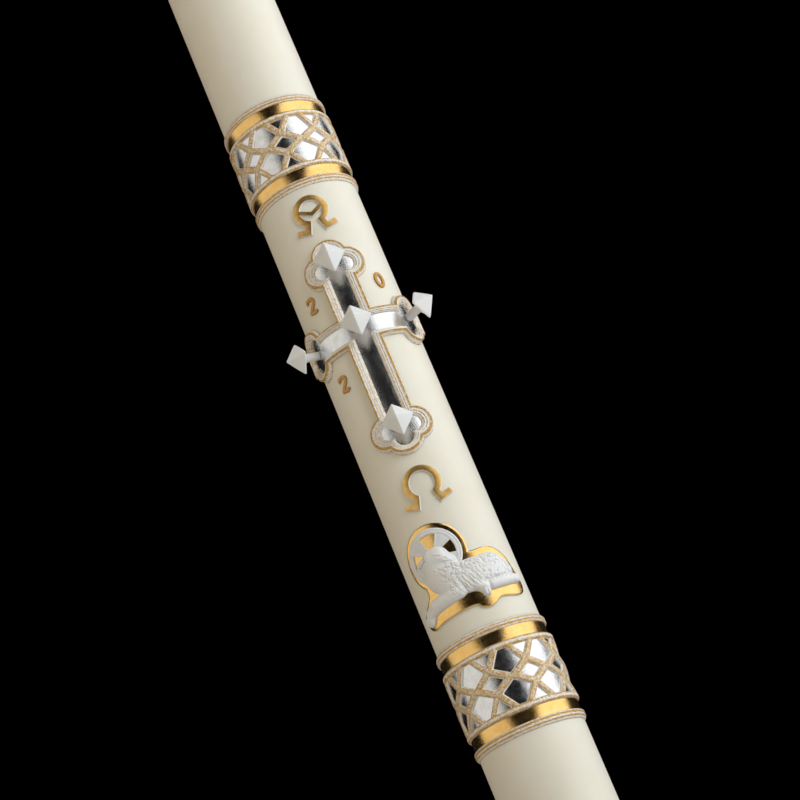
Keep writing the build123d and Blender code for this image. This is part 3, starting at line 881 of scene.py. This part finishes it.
def smoothPath(points, count):
    # curve through the points, worked out as cubic pieces with slopes from the neighbours
    points = np.array(points, float)
    padded = np.concatenate([2 * points[:1] - points[1:2], points, 2 * points[-1:] - points[-2:-1]])
    place = np.linspace(0, len(points) - 1, count)
    index = np.minimum(place.astype(int), len(points) - 2)
    t = (place - index)[:, None]
    before, start, end, after = (padded[index + step] for step in range(4))
    return 0.5 * (2 * start + (end - before) * t + (2 * before - 5 * start + 4 * end - after) * t**2
                  + (3 * start - before - 3 * end + after) * t**3)


def makeNumeral(name, node, strokes):
    angle, height = middleOf(node)
    section = roundSection(numeral["stroke"], numeral["rise"])
    parts = []
    for path, taper in strokes:
        widths = numeral["stroke"] * (1 - taper * np.abs(np.linspace(-1, 1, len(path))) ** 6)
        parts.append(band(path, widths, section, (angle * candleRadius, height)))
    points, faces = joined(parts)
    # painted shade: each stroke is coloured darker towards both edges, where the round stroke turns down
    # into the wax, and stays light in the middle
    rubAndShade = np.tile(numeral["edgeShade"] * np.abs(section[:, 0] * 2) ** 4, len(points) // len(section))
    addPiece(name, points, faces, ochreWax, "candle", [node], {"rubAndShade": rubAndShade}, 60)


twoHead = smoothPath([(-3.0, 2.6), (-2.9, 4.6), (-0.8, 5.5), (1.8, 5.2), (3.0, 3.2), (2.2, 0.8),
                      (-0.4, -1.8), (-2.9, -4.4)], 60)
twoFoot = smoothPath([(-3.4, -4.9), (-1.6, -4.5), (0.4, -5.2), (2.4, -5.1), (3.6, -3.9)], 30)
zeroRing = arcPoints((0, 0), 1, 0, 360, 60) * np.array([2.9, 5.1])
makeNumeral("twoUpper", "numeral_two_upper", [(twoHead, 0.35), (twoFoot, 0.35)])
makeNumeral("twoLower", "numeral_two_lower", [(twoHead, 0.35), (twoFoot, 0.35)])
makeNumeral("zero", "numeral_zero", [(zeroRing, 0.0)])
print("letters and numerals made")


_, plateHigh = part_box("lamb_plate_gold")
plate = dict(wax=1.3, foil=0.3, bevel=0.9, haloCentre=(-12.9, 22.2), haloSize=23.3, fleeceDrop=45.7,
             across=(-46, 46), up=(-27, 48), goldStep=0.42, waxStep=0.7, outlinePoints=200)
lambHeight = plateHigh.z / mm - plate["fleeceDrop"]  # middle of the fleece
plateOutline = [
    (10, 16.2), (22, 16.4), (30, 13.2), (36, 6.5), (38.5, -1.5), (41, -10), (41.5, -16), (39, -20.6),
    (33, -22.2), (20, -21), (14, -24.2), (9, -25.6), (4.5, -24), (1, -21.3), (-12, -21.2), (-25, -21.8),
    (-33, -23), (-38.5, -21.4), (-41.3, -16), (-40, -10.5), (-33.5, -5.5), (-28.5, -0.5), (-27, 8),
    (-13, 20)]


def polygonInside(across, up, outline):
    # signed distance to a closed outline, positive inside: nearest edge, and a crossing count
    nearest = np.full(across.shape, 1e9)
    inside = np.zeros(across.shape, bool)
    for (startX, startY), (endX, endY) in zip(outline, np.roll(outline, -1, 0)):
        edgeX, edgeY = endX - startX, endY - startY
        nearest = np.minimum(nearest, fromLine(across, up, (startX, startY), (endX, endY))[1])
        spans = (startY > up) != (endY > up)
        cut = startX + edgeX * (up - startY) / (edgeY if edgeY else 1e-9)
        inside = inside ^ (spans & (across < cut))
    return np.where(inside, nearest, -nearest)


# the curve runs past its start at both ends, and the doubled stretch is cut off
closedOutline = smoothPath(plateOutline + plateOutline[:3], plate["outlinePoints"])
keepFrom = plate["outlinePoints"] // (len(plateOutline) + 2)
closedOutline = closedOutline[keepFrom:plate["outlinePoints"] - keepFrom]


def plateInside(across, up):
    x, y = plate["haloCentre"]
    disc = plate["haloSize"] - np.hypot(across - x, up - y)
    return np.maximum(polygonInside(across, up, closedOutline), disc)


def makePlate():
    foot = plate["wax"]
    top = plate["wax"] + plate["foil"]

    def rise(across, up, distance):
        return top - 0.5 * (1 - ramp(distance, 0, plate["bevel"]))

    def waxRise(across, up, distance):
        return foot - 0.25 + 0 * distance

    for name, lift, low, step, material, slotName, node in (
            ("lambPlateGold", rise, foot - 0.5, plate["goldStep"], goldFoil, "gold_foil", "lamb_plate_gold"),
            ("lambPlateWax", waxRise, -sunk, plate["waxStep"], whiteWax, "white_wax", "lamb_plate_wax")):
        points, faces, *_ = fieldRelief(plate["across"], plate["up"], step, plateInside, lift, low)
        points[:, 2] += lambHeight * mm
        addPiece(name, points, faces, material, "candle", [node], None, 40)


limbs = [  # from and to: across, up, half width and height over the plate
    ((-3, 0, 11.4, 4.6), (20, -0.8, 12.4, 5.0)), ((20, -0.8, 12.4, 4.9), (24.2, -3.0, 10.2, 5.0)),
    ((-9, 1, 11.5, 4.6), (-11.5, 11, 13.2, 4.3)), ((-13, 8, 12.6, 4.3), (-15, 17, 10.2, 4.5)),
    ((-14.5, 20, 8.2, 4.9), (-11.2, 19.8, 8.4, 5.1)), ((-9.6, 19.4, 6.4, 5.0), (-6, 15.6, 4.6, 4.9)),
    ((-17.0, 22.4, 2.0, 4.4), (-24.0, 21.2, 2.8, 4.0)),
    ((-6, -7.6, 5.4, 4.7), (-25, -9.6, 5.2, 4.2)), ((-25, -9.6, 5.2, 4.2), (-31.4, -12, 4.2, 3.7)),
    ((-31.4, -12, 4.2, 3.7), (-34.6, -15.6, 4.7, 3.5)),
    ((16, -11.4, 3.8, 4.6), (29, -10.6, 3.9, 4.8)), ((31, -10.2, 3.5, 4.6), (35.2, -10.6, 3.5, 4.2)),
    ((7, -8.6, 4.4, 5.0), (10.4, -11.6, 4.0, 4.9)), ((10.4, -11.6, 4.0, 4.9), (10.6, -15.4, 3.0, 4.2))]


# raised and sunk lines, as from, to, width and rise: ear, eye, cheek, nostril and mouth, then the
# chest, the legs' folds and the hooves
lambLines = [
    ((-20.4, 23.4), (-24.8, 21.6), 0.8, -1.2), ((-19.6, 26.4), (-18.8, 21.6), 0.7, -0.8),
    ((-18.8, 21.6), (-23.2, 18.6), 0.7, -0.9), ((-11.4, 20.9), (-8.4, 19.2), 0.55, -0.8),
    ((-11.8, 22.1), (-8.0, 20.3), 0.6, 0.45), ((-10.8, 19.7), (-8.6, 18.2), 0.6, 0.4),
    ((-5.2, 24.4), (-4.6, 18.6), 0.6, -0.5), ((-8.0, 14.4), (-3.4, 13.4), 0.45, -0.8),
    ((-6.0, 16.8), (-5.0, 15.8), 0.5, -0.7), ((-3.6, 17.2), (-3.0, 16.2), 0.4, -0.6),
    ((-2.6, 14.8), (-2.0, 11.0), 0.6, 0.4),
    ((-5.0, -1.5), (-1.6, -10.5), 0.7, 0.7), ((-3.4, -2), (-0.2, -12.5), 0.6, -1.0),
    ((14, -8.2), (30, -6.6), 0.7, -0.9), ((-33.6, -16.6), (-36.2, -19.8), 0.5, -0.9),
    ((-30.8, -15.6), (-37.0, -11.6), 0.6, -0.6), ((10.6, -14.0), (10.8, -18.0), 0.45, -0.9),
    ((6.6, -12.6), (13.8, -13.4), 0.5, -0.5), ((33.0, -11.4), (34.0, -6.6), 0.6, -0.6),
    ((36.0, -9.2), (39.4, -9.8), 0.45, -0.6), ((26, -6.4), (31, -2), 0.8, -0.5)]


def limbHeight(across, up, limb):
    # dome over a tapered bar: height times sqrt(1 - (distance / half width) squared)
    (startX, startY, startSize, startRise), (endX, endY, endSize, endRise) = limb
    share, away = fromLine(across, up, (startX, startY), (endX, endY))
    size = startSize + (endSize - startSize) * share
    high = startRise + (endRise - startRise) * share
    within = 1 - (away / size) ** 2
    return high * np.sign(within) * np.abs(within) ** 0.55, size - away


def ridge(across, up, start, end, width, height):
    # raised or sunk line between two points
    return height * hump(fromLine(across, up, start, end)[1], 0, width)


def lambInside(across, up):
    inside = np.full(across.shape, -9.0)
    for limb in limbs:
        inside = softMax(inside, limbHeight(across, up, limb)[1], 1.2)
    return inside


def lambRise(across, up, distance):
    height = np.full(across.shape, -2.0)
    for limb in limbs:
        height = softMax(height, limbHeight(across, up, limb)[0], 0.5)
    # fleece: scattered curls on the body and crown, long locks on the chest, none on legs and face
    face = ramp(up, 10.5, 13.5) * ramp(4 - across, 0, 2)
    body = ramp(across, -14, -5) * ramp(up, -11, -7.5)
    throat = ramp(across + 0.3 * up, -15, -7) * ramp(up, -4, 2)
    woolly = np.maximum(body, throat) * (1 - face) * ramp(distance, 0, 1.6)
    away, mark = curls(across + 0.25 * up, up * 0.9, 2.3, 7)
    tuft = (0.6 - away) * 1.7 + 0.25 * np.sin(away * 13 + mark * 6.3)
    fineAway, _ = curls(across, up, 1.15, 9)
    tuft = tuft + 0.8 * (0.5 - fineAway)
    locks = ramp(-across, -17, -6) * ramp(across, -9, -4) * ramp(-up, -5, 5)
    wave = 0.6 * up + 1.6 * ripple(across, up, 7, 13)
    strands = (1 - np.abs(np.sin(across * 1.25 + wave))) * 0.9 - 0.35
    strands = strands + 0.25 * np.sin(across * 4.1 + wave * 2)
    height = height + woolly * (tuft * (1 - locks) + strands * locks)
    for start, end, width, lift in lambLines:
        height = height + ridge(across, up, start, end, width, lift)
    height = height + 0.07 * ripple(across, up, 2.2, 17)
    return np.clip(height, 0.0, 5.25) + plate["wax"] + plate["foil"] - 0.1


halo = dict(size=19.6, width=3.2, rise=1.2, groove=0.42, panel=0.7, flute=0.12, flutes=60,
            windows=((87, 22), (5.5, 18), (170, 18)),  # middle and half width of each, in degrees
            windowInner=5.0, windowOuter=15.7)


def haloInside(across, up):
    x, y = across - plate["haloCentre"][0], up - plate["haloCentre"][1]
    reach, angle = np.hypot(x, y), np.degrees(np.arctan2(y, x))
    inside = halo["size"] - reach
    for middle, half in halo["windows"]:
        turn = (angle - middle + 180) % 360 - 180
        sideways = (half - np.abs(turn)) * np.pi / 180 * np.maximum(reach, 1)
        opening = np.minimum(sideways, np.minimum(reach - halo["windowInner"], halo["windowOuter"] - reach))
        inside = np.minimum(inside, -opening)
    return inside


def haloRise(across, up, distance):
    x, y = across - plate["haloCentre"][0], up - plate["haloCentre"][1]
    reach, angle = np.hypot(x, y), np.arctan2(y, x)
    hoop = reach - (halo["size"] - halo["width"] / 2)
    ring = halo["rise"] - 0.1 * (np.abs(hoop) / 1.8) ** 4 - halo["groove"] * hump(hoop, -0.3, 0.5)
    edge = 0.35 * (1 - ramp(halo["size"] - reach, 0, 0.7))
    flute = halo["flute"] * np.sin(angle * halo["flutes"])
    panel = halo["panel"] + flute + 0.25 * hump(distance, 0.5, 0.4)
    inner = halo["size"] - halo["width"]
    on = ramp(reach, inner - 0.3, inner + 0.2)
    return panel * (1 - on) + (ring - edge) * on + plate["wax"] + plate["foil"]


def makeLamb():
    for name, node, inside, rise, box, step in (
            ("lambRelief", "lamb_relief", lambInside, lambRise, ((-43, 43), (-21, 33)), 0.33),
            ("haloRing", "halo", haloInside, haloRise, ((-36, 9), (0, 44)), 0.36)):
        points, faces, *_ = fieldRelief(*box, step, inside, rise, plate["wax"] - 0.2)
        points[:, 2] += lambHeight * mm
        addPiece(name, points, faces, whiteWax, "candle", [node], None, 60)


makePlate()
makeLamb()
print("lamb made")


floorHalf = 6  # m
worldGlow = 0.009
view = dict(tilt=20.224, roll=22.88, lens=96, place=(0.00715, -1.43591, 0.16101))
softboxes = dict(  # degrees round from the front; sizes, distance and centre in m; power in W
    softboxRight=dict(azimuth=70, distance=1.1, width=1.78, height=1.9, centre=1.05, power=14),
    softboxLeft=dict(azimuth=-64, distance=1.1, width=1.78, height=1.9, centre=1.05, power=7.8,
                     colour=(1.0, 0.96, 0.88)),
    fillRight=dict(azimuth=50, distance=2.2, width=1.6, height=1.6, centre=1.2, power=25,
                   colour=(0.86, 0.93, 1.0), mirrored=False),
    fillLeft=dict(azimuth=-50, distance=2.2, width=1.6, height=1.6, centre=1.2, power=4,
                  colour=(1.0, 0.55, 0.0), mirrored=False))


def makeFloor():
    mesh = bpy.data.meshes.new("floor")
    corners = [(x * floorHalf, y * floorHalf, 0) for x, y in ((-1, -1), (1, -1), (1, 1), (-1, 1))]
    mesh.from_pydata(corners, [], [(0, 1, 2, 3)])
    floor = bpy.data.objects.new("floor", mesh)
    bpy.context.scene.collection.objects.link(floor)
    material, tree, shader = newMaterial("pale_floor")
    setInputs(shader, {"Base Color": (0.72, 0.71, 0.69, 1), "Roughness": 0.7})
    mesh.materials.append(material)


def makeSoftbox(name, azimuth, distance, width, height, centre, power, colour=(1, 1, 1), mirrored=True):
    # rectangular light at an angle round the candle from the front, facing the cross
    lamp = bpy.data.lights.new(name, "AREA")
    lamp.shape, lamp.size, lamp.size_y, lamp.energy = "RECTANGLE", width, height, power
    lamp.color = colour
    light = bpy.data.objects.new(name, lamp)
    light.visible_glossy = mirrored
    angle = math.radians(azimuth)
    place = Vector((distance * math.sin(angle), -distance * math.cos(angle), centre))
    light.location = place
    light.rotation_euler = (Vector((0, 0, crossHeight * mm)) - place).to_track_quat("-Z", "Y").to_euler()
    bpy.context.scene.collection.objects.link(light)


def makeCamera():
    # looks up at the candle by 20 degrees and is rolled so that the candle leans to the left
    data = bpy.data.cameras.new("camera")
    data.sensor_width, data.lens = 36, view["lens"]
    camera = bpy.data.objects.new("camera", data)
    tilt, roll = math.radians(view["tilt"]), math.radians(view["roll"])
    ahead = Vector((0, math.cos(tilt), math.sin(tilt)))
    level, upright = Vector((1, 0, 0)), Vector((0, -math.sin(tilt), math.cos(tilt)))
    right = level * math.cos(roll) - upright * math.sin(roll)
    above = upright * math.cos(roll) + level * math.sin(roll)
    turn = Matrix((right, above, -ahead)).transposed()
    camera.matrix_world = Matrix.Translation(Vector(view["place"])) @ turn.to_4x4()
    bpy.context.scene.collection.objects.link(camera)
    bpy.context.scene.camera = camera


def makeWorld():
    # a faint glow from all round, and black where the camera looks past the candle
    world = bpy.data.worlds.new("studio")
    world.use_nodes = True
    background = world.node_tree.nodes["Background"]
    background.inputs[0].default_value = (1, 1, 1, 1)
    path = world.node_tree.nodes.new("ShaderNodeLightPath")
    dim = world.node_tree.nodes.new("ShaderNodeMapRange")
    setInputs(dim, {"To Min": worldGlow, "To Max": 0})
    world.node_tree.links.new(path.outputs["Is Camera Ray"], dim.inputs["Value"])
    world.node_tree.links.new(dim.outputs["Result"], background.inputs[1])
    bpy.context.scene.world = world


makeFloor()
for name, values in softboxes.items():
    makeSoftbox(name, **values)
makeWorld()
makeCamera()
bpy.context.scene.view_settings.view_transform = "Standard"

print("pieces made:", pieceCount)
